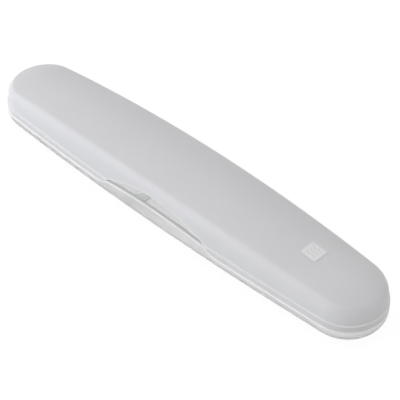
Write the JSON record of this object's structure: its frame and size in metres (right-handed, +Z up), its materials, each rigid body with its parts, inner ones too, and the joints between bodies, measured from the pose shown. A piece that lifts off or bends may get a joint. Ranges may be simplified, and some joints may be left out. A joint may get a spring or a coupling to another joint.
{
  "type": "electric toothbrush travel case",
  "caption": "Long shallow clamshell case with round ends, a domed lid, a thumb notch in its front edge and a moulded cradle for one toothbrush.",
  "frame": {"origin": "middle of the flat foot under the base, on the surface the case stands on", "axes": "+X along the case, -Y to the side with the thumb notch, +Y to the hinge side, +Z up"},
  "size_m": [0.246, 0.0503, 0.0296],
  "materials": {
    "frosted_polypropylene_base": "moulded, fine frosted, milky",
    "frosted_polypropylene_lid": "moulded, fine frosted, milky",
    "steel_pin": "drawn wire"
  },
  "bodies": {
    "base": {"base_shell": "frosted_polypropylene_base", "hinge_pin_left": "steel_pin", "hinge_pin_right": "steel_pin"},
    "lid": {"lid_shell": "frosted_polypropylene_lid"}
  },
  "joints": [
    {"name": "lid_hinge", "type": "hinge", "parent": "base", "child": "lid", "pos_m": [0, 0.02456, 0.0089], "axis": [-1, 0, 0], "range_deg": [0, 120]}
  ]
}
